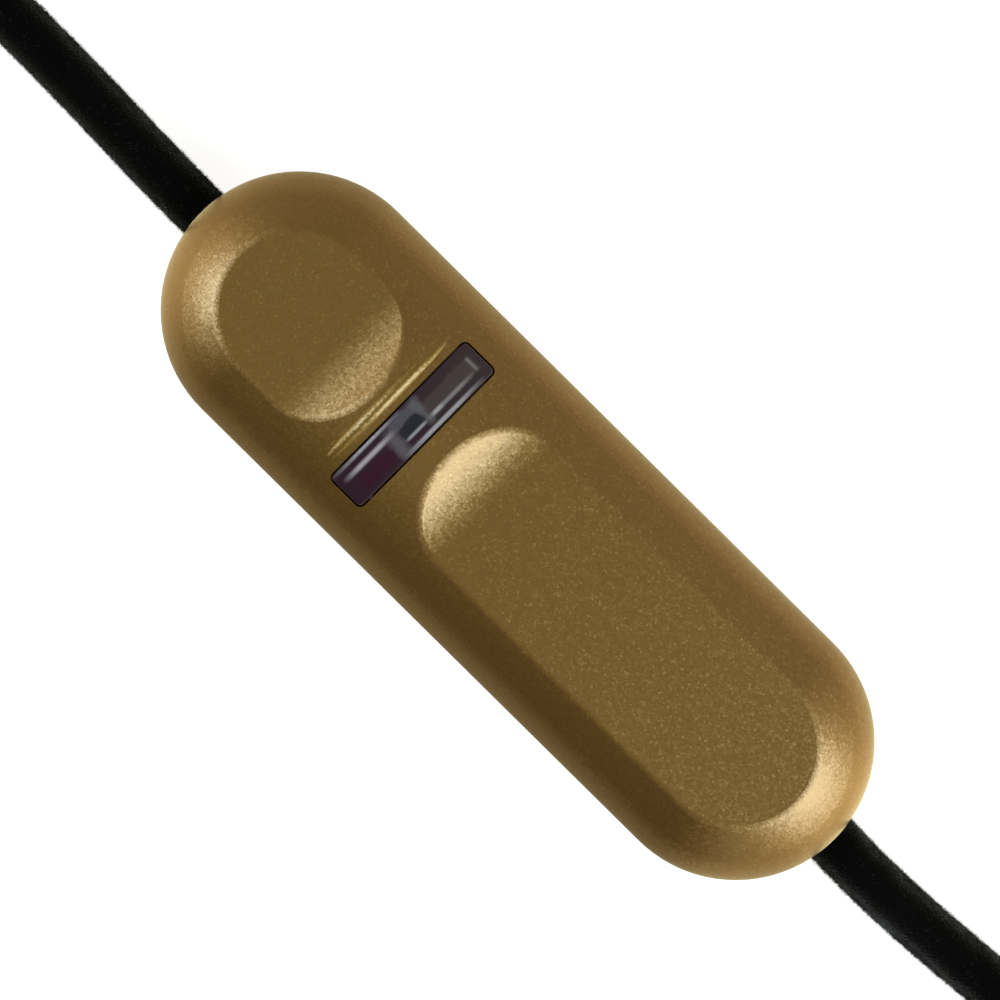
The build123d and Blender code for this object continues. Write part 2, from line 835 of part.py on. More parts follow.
def racetrack_ring(way, near, run, layers):
    """The outer shape of a hank: a long ring of stacked turns, lying on its ties."""
    middle = way * (near + run / 2)
    height = layers * cord_diameter
    outer = SlotCenterToCenter(run, 2 * (fold_radius + cord_radius))
    inner = SlotCenterToCenter(run, 2 * (fold_radius - cord_radius))
    ring = extrude(outer - inner, amount=height)
    ring = fillet(ring.edges().group_by(Axis.Z)[-1] + ring.edges().group_by(Axis.Z)[0], hank_rounding)
    return Pos(middle, 0, tie_thickness) * ring


def hank_ties(way, near, layers, at):
    """The two bands around a hank's runs."""
    bands = []
    height = layers * cord_diameter
    for side in (-1, 1):
        inner = RectangleRounded(cord_diameter + 0.1, height + 0.05, hank_rounding)
        outer = RectangleRounded(
            cord_diameter + 0.1 + 2 * tie_thickness, height + 0.05 + 2 * tie_thickness, hank_rounding + tie_thickness
        )
        band = extrude(Plane.YZ * (outer - inner), amount=tie_width / 2, both=True)
        middle = tie_thickness + (height + 0.05) / 2
        bands.append(Pos(way * (near + at), side * fold_radius, middle) * band)
    return bands


def cord_tube(route, way, near, run, layers, name):
    """The cord's tube up to the flank of its hank."""
    return tube(route, cord_radius, name) - racetrack_ring(way, near, run, layers)


def hexagon(width, flat, thickness):
    """The plug's section."""
    points = [
        (-width / 2, 0), (-flat / 2, thickness / 2), (flat / 2, thickness / 2),
        (width / 2, 0), (flat / 2, -thickness / 2), (-flat / 2, -thickness / 2),
    ]
    return make_face(Polyline(*points, close=True))


def plug_height():
    """The height of the plug's axis above the table."""
    return tie_thickness + line_hank_layers * cord_diameter + plug_sink


def plug_body():
    """The moulded plug with its ribbed strain relief, in the hollow of the hank."""
    sections = [
        (0.0, plug_width, plug_flat, plug_thickness),
        (plug_waist_at, plug_waist_width, plug_waist_width - 7.0, plug_thickness - 0.4),
        (plug_length, plug_rear_width, plug_rear_width - 5.0, plug_rear_thickness),
    ]
    faces = [
        Plane(origin=(at, 0, 0), x_dir=(0, 1, 0), z_dir=(1, 0, 0)) * hexagon(width, flat, thick)
        for at, width, flat, thick in sections
    ]
    body = loft(faces) + extrude(faces[0], amount=-plug_front)
    body = Pos(plug_front, 0, 0) * body
    body = fillet(body.edges().group_by(Axis.X)[0], 1.0)
    taper = Cone(relief_front_radius, relief_rear_radius, relief_length + 4.0)
    start = plug_length + plug_front
    relief = Pos(start - 4.0 + (relief_length + 4.0) / 2, 0, 0) * Rot(0, 90, 0) * taper
    for k in range(relief_grooves):
        at = start + 3.2 + k * (relief_length - 5.0) / relief_grooves
        radius = relief_front_radius + (relief_rear_radius - relief_front_radius) * (at - start) / relief_length
        groove = rod(at, at + relief_groove_width, 0, 0, radius + 2)
        relief -= groove - rod(at, at + relief_groove_width, 0, 0, radius - relief_groove_depth)
    plug = body + relief
    for y in (-pin_spacing / 2, pin_spacing / 2):
        plug -= rod(0, pin_root, y, 0, pin_core_radius)
    plug -= rod(start + relief_length - relief_socket, start + relief_length, 0, 0, cord_radius + cord_seat_gap)
    return Pos(-plug_face_x, 0, plug_height()) * plug


def plug_pins():
    """The two round pins, with domed tips."""
    pins = []
    for y in (-pin_spacing / 2, pin_spacing / 2):
        pin = rod(-pin_length + pin_radius, -sleeve_length, y, 0, pin_radius)
        pin += Pos(-pin_length + pin_radius, y, 0) * Sphere(pin_radius)
        pin += rod(-sleeve_length, pin_root, y, 0, pin_core_radius)
        pins.append(Pos(-plug_face_x, 0, plug_height()) * pin)
    return pins


def plug_sleeves():
    """The insulating sleeves at the roots of the pins."""
    sleeves = []
    for y in (-pin_spacing / 2, pin_spacing / 2):
        sleeve = rod(-sleeve_length, 0, y, 0, sleeve_radius) - rod(-sleeve_length, 0, y, 0, pin_core_radius)
        sleeves.append(Pos(-plug_face_x, 0, plug_height()) * sleeve)
    return sleeves


def line_cord_end():
    """The cord's last stretch, from the top of the hank into the plug."""
    top = tie_thickness + line_hank_layers * cord_diameter
    relief_end = -plug_face_x + plug_front + plug_length + relief_length - relief_socket
    height = plug_height()
    corner = fold_radius * math.tan(math.pi / 8)
    points = [
        (-line_hank_near + fold_radius, corner, top + cord_radius),
        (-line_hank_near + corner, fold_radius, top + cord_radius),
        (-line_hank_near - 9.0, fold_radius - 0.4, top + cord_radius),
        (-line_hank_near - 22.5, fold_radius - 8.6, top + cord_radius),
        (relief_end + 11.5, 0.0, height),
        (relief_end, 0.0, height),
    ]
    return tube(points, cord_radius, "line_cord_end")


def lamp_cord_end():
    """The end of the lamp lead's sheath, on top of its hank."""
    top = tie_thickness + lamp_hank_layers * cord_diameter
    near = lamp_hank_near
    corner = fold_radius * math.tan(math.pi / 8)
    points = [
        (near - fold_radius, corner, top + cord_radius),
        (near - corner, fold_radius, top + cord_radius),
        (near + sheath_run, fold_radius, top + cord_radius),
    ]
    return tube(points, cord_radius, "lamp_cord_end")


def lamp_end_lead(side, name):
    """One stripped core of the lamp lead, lying on its hank."""
    top = tie_thickness + lamp_hank_layers * cord_diameter
    start = lamp_hank_near + sheath_run
    y = fold_radius + side * core_spread
    rest = top + tie_thickness + core_radius + lead_gap
    points = [
        (start, y, top + cord_radius),
        (start + 5.0, y, top + cord_radius),
        (start + 13.0, y + side * lead_splay, rest),
        (start + lead_length, y + side * lead_splay, rest),
    ]
    return tube(points, core_radius, name)


def lead_ferrules():
    """The crimped ferrules on the stripped cores."""
    top = tie_thickness + lamp_hank_layers * cord_diameter
    start = lamp_hank_near + sheath_run + lead_length
    rest = top + tie_thickness + core_radius + lead_gap
    ferrules = []
    for side in (-1, 1):
        y = fold_radius + side * (core_spread + lead_splay)
        ferrules.append(rod(start, start + ferrule_length, y, rest, ferrule_radius))
    return ferrules


line_ring = (-1, line_hank_near, line_hank_run, line_hank_layers)
lamp_ring = (1, lamp_hank_near, lamp_hank_run, lamp_hank_layers)

nodes = {
    "top_cover": top_cover(),
    "bottom_cover": bottom_cover(),
    "indicator_lens": indicator_lens(),
    "indicator_led": indicator_led(),
    "led_leads": led_leads(),
    "circuit_board": circuit_board(),
    "round_touch_plate": round_touch_plate(),
    "long_touch_plate": long_touch_plate(),
    "round_touch_contact": round_touch_contact(),
    "long_touch_contact": long_touch_contact(),
    "heat_sink": heat_sink(),
    "power_switch": power_switch(),
    "power_switch_legs": power_switch_legs(),
    "choke_core": choke_core(),
    "choke_winding": choke_winding(),
    "film_capacitor": film_capacitor(),
    "electrolytic_capacitor": electrolytic_capacitor(),
    "fuse": fuse(),
    "control_chip": control_chip(),
    "resistors": resistors(),
    "diodes": diodes(),
    "line_terminal_block": terminal_block(-1),
    "lamp_terminal_block": terminal_block(1),
    "terminal_screws": terminal_screws(),
    "line_cord_clamp": cord_clamp(-1),
    "lamp_cord_clamp": cord_clamp(1),
    "clamp_screws": clamp_screws(),
    "housing_screws": housing_screws(),
    "line_brown_core": inner_core(-1, -1, "line_brown_core"),
    "line_blue_core": inner_core(-1, 1, "line_blue_core"),
    "lamp_brown_core": inner_core(1, -1, "lamp_brown_core"),
    "lamp_blue_core": inner_core(1, 1, "lamp_blue_core"),
    "line_cord": cord_tube(line_route, *line_ring, "line_cord"),
    "line_cord_hank": racetrack_ring(*line_ring),
    "line_hank_ties": hank_ties(-1, line_hank_near, line_hank_layers, line_tie_at),
    "line_cord_end": line_cord_end(),
    "plug_body": plug_body(),
    "plug_pins": plug_pins(),
    "plug_pin_sleeves": plug_sleeves(),
    "lamp_cord": cord_tube(lamp_route, *lamp_ring, "lamp_cord"),
    "lamp_cord_hank": racetrack_ring(*lamp_ring),
    "lamp_hank_ties": hank_ties(1, lamp_hank_near, lamp_hank_layers, lamp_tie_at),
    "lamp_cord_end": lamp_cord_end(),
    "lamp_brown_lead": lamp_end_lead(-1, "lamp_brown_lead"),
    "lamp_blue_lead": lamp_end_lead(1, "lamp_blue_lead"),
    "lead_ferrules": lead_ferrules(),
}

os.makedirs("parts", exist_ok=True)
for name, shape in nodes.items():
    made = Compound(children=shape) if isinstance(shape, list) else shape
    export_step(made, f"parts/{name}.step")
print(len(nodes), "nodes written")
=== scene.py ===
import math
import random

import bpy
import numpy as np
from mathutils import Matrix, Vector


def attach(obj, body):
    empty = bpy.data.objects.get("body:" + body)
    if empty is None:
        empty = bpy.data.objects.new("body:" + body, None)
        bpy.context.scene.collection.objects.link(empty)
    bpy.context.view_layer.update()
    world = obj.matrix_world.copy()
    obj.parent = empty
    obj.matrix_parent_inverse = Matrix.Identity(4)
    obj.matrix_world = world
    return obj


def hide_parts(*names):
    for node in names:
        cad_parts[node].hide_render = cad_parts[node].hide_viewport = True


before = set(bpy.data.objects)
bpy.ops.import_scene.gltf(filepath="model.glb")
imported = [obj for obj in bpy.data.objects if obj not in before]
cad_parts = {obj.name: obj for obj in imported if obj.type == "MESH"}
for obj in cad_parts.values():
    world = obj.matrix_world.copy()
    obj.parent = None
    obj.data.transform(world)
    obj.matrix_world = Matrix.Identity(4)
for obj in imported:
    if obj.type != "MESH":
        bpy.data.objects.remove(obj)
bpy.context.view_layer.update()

# Lengths below are in millimetres unless a name says otherwise, and MM turns them into metres
MM = 0.001

# Camera: above the housing, turned so that it lies across the picture
view_centre = (-3.6, 0.67, 11.0)
view_distance = 600.0
view_width = 115.3
view_turn = 44.7
view_tilt = 2.0  # degrees off plumb, towards the picture's top
sensor_width = 36.0

# Cord
cord_diameter = 6.2
fold_radius = 18.6
tie_thickness = 0.8
fold_step = 30.0  # degrees between a fold's points
run_step = 12.0  # about how far apart a straight run's points are
climb_start = 0.62  # share of a turn after which it climbs to the next layer
climb_end = 0.88

line_route = [
    (-36.5, 0.0, 9.0),
    (-56.0, 0.0, 9.0),
    (-72.0, 0.5, 3.8),
    (-88.0, 0.6, 3.1),
    (-96.5, 0.9, 3.2),
    (-104.2, 8.4, 3.7),
]
line_end = [
    (-131.0, 18.2, 28.7),
    (-144.5, 10.0, 28.7),
    (-155.5, 0.0, 28.35),
    (-167.0, 0.0, 28.35),
]
lamp_route = [
    (36.5, 0.0, 9.0),
    (46.0, 0.0, 9.0),
    (57.0, -0.55, 8.7),
    (70.0, -0.1, 4.0),
    (84.0, 1.2, 3.1),
    (91.0, 2.2, 3.3),
    (97.4, 8.6, 3.7),
]
lamp_end = [
    (115.0, 18.6, 16.3),
    (122.5, 18.6, 16.3),
]
line_hank = {"way": -1, "near": 122.0, "run": 100.0, "turns": 4}
lamp_hank = {"way": 1, "near": 115.0, "run": 20.0, "turns": 2}


class Shader:
    """A material and short ways to add nodes to it."""

    def __init__(self, name):
        self.material = bpy.data.materials.new(name)
        self.material.use_nodes = True
        self.nodes = self.material.node_tree.nodes
        self.links = self.material.node_tree.links
        self.surface = self.nodes["Principled BSDF"]

    def add(self, kind, inputs=None, **settings):
        node = self.nodes.new(kind)
        for key, value in settings.items():
            setattr(node, key, value)
        for key, value in (inputs or {}).items():
            self.put(node.inputs[key], value)
        return node

    def put(self, socket, value):
        if isinstance(value, bpy.types.NodeSocket):
            self.links.new(value, socket)
        else:
            socket.default_value = value

    def set(self, **inputs):
        """Sets the Principled shader's inputs: underscores stand for the spaces in their names."""
        for key, value in inputs.items():
            self.put(self.surface.inputs[key.replace("_", " ")], value)

    def math(self, operation, *values):
        return self.add("ShaderNodeMath", dict(enumerate(values)), operation=operation).outputs[0]

    def vector(self, operation, *values):
        return self.add("ShaderNodeVectorMath", dict(enumerate(values)), operation=operation).outputs[0]

    def place(self):
        """The point in the row frame, in millimetres."""
        return self.scaled(self.add("ShaderNodeTexCoord").outputs["Object"], 1000.0)

    def noise(self, where, scale, detail=2.0, roughness=0.5):
        inputs = {"Vector": where, "Scale": scale, "Detail": detail, "Roughness": roughness}
        return self.add("ShaderNodeTexNoise", inputs).outputs["Fac"]

    def cells(self, where, scale):
        return self.add("ShaderNodeTexVoronoi", {"Vector": where, "Scale": scale}).outputs["Color"]

    def ramp(self, factor, stops):
        node = self.add("ShaderNodeValToRGB", {"Fac": factor})
        ramp = node.color_ramp
        while len(ramp.elements) < len(stops):
            ramp.elements.new(0.5)
        for element, (at, colour) in zip(ramp.elements, stops):
            element.position = at
            element.color = (*colour, 1.0)
        return node.outputs["Color"]

    def spread(self, factor, low, high, to_low=0.0, to_high=1.0):
        """The factor's stretch from low to high, spread over to_low to to_high."""
        inputs = {"Value": factor, "From Min": low, "From Max": high, "To Min": to_low, "To Max": to_high}
        return self.add("ShaderNodeMapRange", inputs).outputs["Result"]

    def band(self, value, centre, reach, softness):
        """One within the reach of the centre, and down to nought over the softness beyond it."""
        gap = self.math("ABSOLUTE", self.math("SUBTRACT", value, centre))
        return self.spread(gap, reach, reach + softness, 1.0, 0.0)

    def mix(self, factor, a, b):
        node = self.add("ShaderNodeMix", data_type="RGBA")
        self.put(node.inputs[0], factor)
        self.put(node.inputs[6], a)
        self.put(node.inputs[7], b)
        return node.outputs[2]

    def bump(self, height, depth):
        """A bump whose full height is depth, in millimetres."""
        inputs = {"Height": height, "Distance": depth * MM, "Strength": 1.0}
        return self.add("ShaderNodeBump", inputs).outputs["Normal"]

    def scaled(self, vector, scale):
        return self.add("ShaderNodeVectorMath", {0: vector, "Scale": scale}, operation="SCALE").outputs[0]

    def axes(self, vector):
        return self.add("ShaderNodeSeparateXYZ", {"Vector": vector}).outputs


class Room(Shader):
    """The world's shader, with the same short ways."""

    def __init__(self, world):
        self.material = world
        self.nodes = world.node_tree.nodes
        self.links = world.node_tree.links
        self.surface = self.nodes["Background"]


def rgb(red, green, blue):
    return (red, green, blue, 1.0)


# The tactile rib on the cover: its middle line, and half its width and length with the softness beyond
rib_x = -21.05
rib_reach = (0.45, 0.6)
rib_length = (7.5, 2.0)
flake_scale = 4.2  # flakes to the millimetre
flake_lean = (0.10, 0.20)  # how far flakes lean, on the cover and on the rib
grain_scale = 3.6  # grains to the millimetre
grain_depth = 0.007


def gold_paint():
    """Metallic gold paint on moulded plastic: fine flakes that each lean their own way, under a thin binder.

    On the rib it is duller and yellower, which dims and tints the highlight along it."""
    shade = Shader("gold_paint")
    where = shade.place()
    axes = shade.axes(where)
    over_rib = shade.band(axes["X"], rib_x, *rib_reach)
    on_rib = shade.math("MULTIPLY", over_rib, shade.band(axes["Y"], 0.0, *rib_length))
    flakes = shade.cells(where, flake_scale)
    lean = shade.vector("SUBTRACT", flakes, (0.5, 0.5, 0.5))
    lean = shade.scaled(lean, shade.spread(on_rib, 0.0, 1.0, *flake_lean))
    grain = shade.noise(where, grain_scale, 3.0, 0.65)
    peel = shade.bump(grain, grain_depth)
    normal = shade.vector("NORMALIZE", shade.vector("ADD", peel, lean))
    tone = shade.ramp(grain, [(0.3, (0.287, 0.139, 0.012)), (0.7, (0.341, 0.166, 0.016))])
    pick = shade.add("ShaderNodeSeparateColor", {"Color": flakes}).outputs["Red"]
    fleck = shade.spread(pick, 0.90, 1.0, 0.0, 0.3)  # the lightest tenth of the flakes
    colour = shade.mix(fleck, tone, rgb(0.60, 0.40, 0.14))
    # on the rib, a yellower colour that tints the rib's highlight
    colour = shade.mix(on_rib, colour, rgb(0.30, 0.165, 0.007))
    shade.set(Base_Color=colour, Normal=normal, Metallic=1.0)
    # rougher on the rib, which dims its highlight
    shade.set(Roughness=shade.spread(on_rib, 0.0, 1.0, 0.475, 0.54))
    shade.set(Coat_Weight=1.0, Coat_Roughness=0.335, Coat_IOR=1.89, Coat_Normal=normal)
    return shade.material


# What shows through the lens, painted on with its own light and shade: centre, reach and softness across it,
# the same along it, strength, tone
lens_marks = [
    (-16.9, 0.8, 0.5, 6.2, 3.4, 0.7, 0.8, (0.123, 0.0892, 0.0981)),  # the far pocket's floor
    (-16.2, 0.5, 0.8, -6.0, 2.0, 1.6, 0.55, (0.0834, 0.0131, 0.0362)),  # the near pocket's floor
    (-18.3, 0.5, 0.5, -0.2, 1.6, 1.0, 0.9, (0.159, 0.149, 0.203)),  # beside the light
    (-17.3, 1.6, 0.6, 1.9, 0.15, 0.7, 0.55, (0.262, 0.250, 0.288)),  # far web
    (-16.6, 1.3, 0.8, -2.6, 0.25, 0.9, 0.55, (0.278, 0.262, 0.309)),  # near web
]
# Painted highlights: bright lines where the inner ridges, the light's edge and the lens's rims catch light,
# in the same columns
lens_highlights = [
    (-16.05, 0.05, 0.22, -0.1, 1.1, 0.7, 0.8, (0.635, 0.619, 0.746)),  # painted highlight on the light's edge
    (-16.1, 0.05, 0.30, 5.4, 1.6, 2.4, 0.5, (0.683, 0.619, 0.725)),  # painted highlights on the inner ridges
    (-16.1, 0.10, 0.25, 3.2, 0.4, 0.7, 0.6, (0.794, 0.738, 0.874)),
    (-17.8, 0.08, 0.34, -6.0, 1.8, 2.4, 0.9, (0.778, 0.690, 0.831)),
    (-17.0, 0.8, 0.3, 9.6, 0.08, 0.22, 0.45, (0.492, 0.476, 0.533)),
    (-19.0, 0.05, 0.24, -5.4, 1.6, 4.0, 0.75, (0.715, 0.654, 0.810)),  # painted highlights on the rims
    (-14.9, 0.05, 0.26, 3.0, 2.4, 4.4, 0.85, (0.762, 0.714, 0.874)),
]
light_centre = (-16.8, -0.1)  # of the light under the lens
light_reach = (0.95, 1.85)
lens_waver = 1.1  # how much the marks under the lens waver


def marked(shade, where, colour, marks):
    """The colour with soft-edged marks on it."""
    axes = shade.axes(where)
    for x, half_x, soft_x, y, half_y, soft_y, amount, tone in marks:
        side = shade.band(axes["X"], x, half_x, soft_x)
        span = shade.band(axes["Y"], y, half_y, soft_y)
        share = shade.math("MULTIPLY", shade.math("MULTIPLY", side, span), amount)
        colour = shade.mix(share, colour, rgb(*tone))
    return colour


def smoky_plastic():
    """Smoky moulded plastic: part of it passes light, part shows what is moulded into its inner side, painted
    on with its light and shade, and painted highlights lie on its ridges and rims.
    """
    shade = Shader("smoky_plastic")
    where = shade.place()
    wave = shade.noise(where, 0.5, 1.0)
    shift = shade.add("ShaderNodeTexNoise", {"Vector": where, "Scale": 0.7, "Detail": 2.0}).outputs["Color"]
    shift = shade.scaled(shade.vector("SUBTRACT", shift, (0.5, 0.5, 0.5)), lens_waver)
    wavering = shade.vector("ADD", where, shift)
    axes = shade.axes(wavering)
    along = shade.spread(axes["Y"], -8.0, 8.0)
    colour = shade.mix(along, rgb(0.060, 0.028, 0.048), rgb(0.067, 0.041, 0.057))
    # painted tones of the inner moulding: its colour with its light and shade
    colour = marked(shade, wavering, colour, lens_marks)
    squares = []
    for axis, middle, reach in zip("XY", light_centre, light_reach):
        share = shade.math("DIVIDE", shade.math("SUBTRACT", axes[axis], middle), reach)
        squares.append(shade.math("MULTIPLY", share, share))
    light = shade.spread(shade.math("ADD", *squares), 0.7, 1.15, 0.9, 0.0)
    colour = shade.mix(light, colour, rgb(0.040, 0.043, 0.064))
    # the painted highlights go on last
    colour = marked(shade, where, colour, lens_highlights)
    shade.set(Base_Color=colour, Normal=shade.bump(wave, 0.01), Specular_Tint=rgb(0.95, 0.90, 0.95))
    shade.set(Transmission_Weight=0.4, Roughness=0.08, IOR=1.49)
    return shade.material


speck_contrast = 0.12


def moulded(name, colour, roughness, grain=2.0, depth=0.01):
    """Plain moulded plastic or lacquer with a fine grain."""
    shade = Shader(name)
    speck = shade.noise(shade.place(), grain, 3.0, 0.6)
    low = tuple(c * (1 - speck_contrast) for c in colour)
    high = tuple(c * (1 + speck_contrast) for c in colour)
    shade.set(Base_Color=shade.ramp(speck, [(0.3, low), (0.7, high)]), Normal=shade.bump(speck, depth))
    shade.set(Roughness=shade.spread(speck, 0.3, 0.7, roughness - 0.06, roughness + 0.06))
    return shade.material


def metal(name, colour, roughness, along=(1.0, 1.0, 1.0)):
    """Metal with a fine brushed or rolled grain, stretched by along."""
    shade = Shader(name)
    where = shade.vector("MULTIPLY", shade.place(), along)
    streak = shade.noise(where, 3.0, 3.0, 0.6)
    low = tuple(c * (1 - speck_contrast) for c in colour)
    shade.set(Base_Color=shade.ramp(streak, [(0.3, low), (0.7, colour)]), Normal=shade.bump(streak, 0.004))
    shade.set(Metallic=1.0, Roughness=shade.spread(streak, 0.3, 0.7, roughness - 0.06, roughness + 0.08))
    return shade.material


def braid():
    """Black braided cotton over the lead, with a soft nap."""
    shade = Shader("black_braid")
    axes = shade.axes(shade.add("ShaderNodeUVMap", uv_map="cord").outputs["UV"])
    waves = []
    for way in ("ADD", "SUBTRACT"):
        slant = shade.math(way, axes["X"], axes["Y"])
        waves.append(shade.math("ABSOLUTE", shade.math("SINE", shade.math("MULTIPLY", slant, math.pi))))
    weave = shade.math("MAXIMUM", *waves)
    nap = shade.noise(shade.place(), 4.0, 3.0, 0.7)
    height = shade.math("ADD", shade.math("MULTIPLY", weave, 0.2), shade.math("MULTIPLY", nap, 1.3))
    colour = shade.ramp(height, [(0.3, (0.0004, 0.0004, 0.0004)), (1.0, (0.0019, 0.0019, 0.0020))])
    shade.set(Base_Color=colour, Normal=shade.bump(height, 0.12))
    shade.set(Roughness=0.95, Specular_IOR_Level=0.05)
    shade.set(Sheen_Weight=0.6, Sheen_Roughness=0.28, Sheen_Tint=rgb(0.8, 0.8, 0.84))
    return shade.material


def nap_fibre():
    """The loose fibres of the braid's nap."""
    shade = Shader("nap_fibre")
    tone = shade.noise(shade.place(), 1.5, 2.0)
    shade.set(Base_Color=shade.ramp(tone, [(0.3, (0.011, 0.011, 0.012)), (0.7, (0.040, 0.040, 0.043))]))
    shade.set(Roughness=0.9, Specular_IOR_Level=0.2)
    return shade.material


def strap():
    """Black hook-and-loop strap."""
    shade = Shader("woven_strap")
    where = shade.place()
    rib = shade.add("ShaderNodeTexWave", {"Vector": where, "Scale": 1.6, "Distortion": 1.0, "Detail": 2.0})
    loop = shade.noise(where, 5.0, 3.0, 0.7)
    height = shade.math("ADD", shade.math("MULTIPLY", rib.outputs["Fac"], 0.4), loop)
    shade.set(Base_Color=shade.ramp(height, [(0.3, (0.006, 0.006, 0.007)), (1.0, (0.030, 0.030, 0.033))]))
    shade.set(Normal=shade.bump(height, 0.15), Roughness=0.9, Sheen_Weight=0.1, Sheen_Roughness=0.5)
    return shade.material


def spline_points(name, points):
    """A NURBS spline with these control points, and the points that it runs through."""
    data = bpy.data.curves.new(name, "CURVE")
    data.dimensions = "3D"
    data.resolution_u = 12
    spline = data.splines.new("NURBS")
    spline.points.add(len(points) - 1)
    for point, place in zip(spline.points, points):
        point.co = (*(Vector(place) * MM), 1.0)
    spline.order_u = 3
    spline.use_endpoint_u = True
    guide = bpy.data.objects.new(name, data)
    bpy.context.scene.collection.objects.link(guide)
    bpy.context.view_layer.update()
    graph = bpy.context.evaluated_depsgraph_get()
    mesh = bpy.data.meshes.new_from_object(guide.evaluated_get(graph))
    path = [v.co.copy() for v in mesh.vertices]
    bpy.data.meshes.remove(mesh)
    bpy.data.objects.remove(guide)
    return path


def turn_points(hank):
    """The points of a hank's stacked turns: round the near fold's far corner, out, back and round again."""
    bulge = fold_radius / math.cos(math.radians(fold_step / 2))
    offset = fold_radius * math.tan(math.radians(fold_step / 2))
    steps = int(180 / fold_step)
    run = hank["run"]
    count = max(1, round((run + 2 * offset) / run_step)) - 1
    lap = []
    for k in range(2):
        angle = math.radians(180 - fold_step * (1.5 + k))
        lap.append((bulge * math.cos(angle), bulge * math.sin(angle)))
    for k in range(count):
        lap.append((-offset + (run + 2 * offset) * (k + 1) / (count + 1), fold_radius))
    for k in range(steps):
        angle = math.radians(90 - fold_step * (0.5 + k))
        lap.append((run + bulge * math.cos(angle), bulge * math.sin(angle)))
    for k in range(count):
        lap.append((run + offset - (run + 2 * offset) * (k + 1) / (count + 1), -fold_radius))
    for k in range(steps - 2):
        angle = math.radians(270 - fold_step * (0.5 + k))
        lap.append((bulge * math.cos(angle), bulge * math.sin(angle)))
    lengths = [0.0]
    for a, b in zip(lap, lap[1:] + lap[:1]):
        lengths.append(lengths[-1] + math.dist(a, b))
    points = []
    low = tie_thickness + cord_diameter / 2
    for turn in range(hank["turns"]):
        for (out, side), gone in zip(lap, lengths):
            share = (gone / lengths[-1] - climb_start) / (climb_end - climb_start)
            share = min(1.0, max(0.0, share))
            layer = turn + share * share * (3 - 2 * share)
            points.append((hank["way"] * (hank["near"] + out), side, low + cord_diameter * layer))
    top = low + cord_diameter * hank["turns"]
    for out, side in lap[:2]:
        points.append((hank["way"] * (hank["near"] + out), side, top))
    return points


def even_points(path, steps):
    """Points along a path, each step as long as steps(distance) says, with the distances."""
    distance = [0.0]
    for a, b in zip(path, path[1:]):
        distance.append(distance[-1] + (b - a).length)
    wanted = [0.0]
    while wanted[-1] < distance[-1]:
        wanted.append(wanted[-1] + steps(wanted[-1]))
    wanted[-1] = distance[-1]
    coordinates = np.array([tuple(p) for p in path])
    columns = [np.interp(wanted, distance, coordinates[:, k]) for k in range(3)]
    return [Vector(p) for p in zip(*columns)], wanted


def frames_along(points):
    """A side and an upper direction at each point, carried along without twist."""
    tangents = []
    for k in range(len(points)):
        ahead = points[min(k + 1, len(points) - 1)]
        behind = points[max(k - 1, 0)]
        tangents.append((ahead - behind).normalized())
    up = Vector((0, 0, 1))
    frames = []
    for tangent in tangents:
        up = (up - tangent * up.dot(tangent)).normalized()
        frames.append((tangent, up.cross(tangent), up))
    return frames


def new_piece(name, vertices, faces, material, smooth=True):
    """A mesh piece in the scene, on the one body of the row."""
    mesh = bpy.data.meshes.new(name)
    mesh.from_pydata([tuple(v) for v in vertices], [], faces)
    mesh.polygons.foreach_set("use_smooth", [smooth] * len(mesh.polygons))
    mesh.materials.append(material)
    piece = bpy.data.objects.new(name, mesh)
    bpy.context.scene.collection.objects.link(piece)
    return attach(piece, "root")


# Braid and nap
cord_sides = 48
braid_strands = 24  # crossings round the cord
braid_pitch = 0.9  # length of one crossing
braid_relief = 0.045
braid_swell = 0.05  # how much its thickness varies along it
swell_rate = 0.8  # radians to the millimetre, with a phase that wanders
wander_rate = 0.31
wander = 1.7
swell_lean = 2.0  # radians by which the cord's two sides swell before and after its top
shown_stretch = 75.0  # from the stripped end, how much of a lead is modelled finely
nap_start = 14.0  # from the stripped end, where the nap begins
nap_per_mm = 400  # fibres to the millimetre
nap_aside = 0.96  # how many of the fibres on top and below go to the sides instead, where they show
nap_side = 0.65  # radians to either side of the cord's middle that they go to
fibre_root = 0.08  # how deep a fibre starts in the braid
fibre_length = (0.3, 1.0)
fibre_rise = (0.2, 0.6)  # share of its length that it stands up
fibre_width = (0.02, 0.035)  # half of it, at the root
fibre_thickness = 0.04
table_clearance = 0.1  # lower fibres are left out
fine_step = 0.3
coarse_step = 2.2


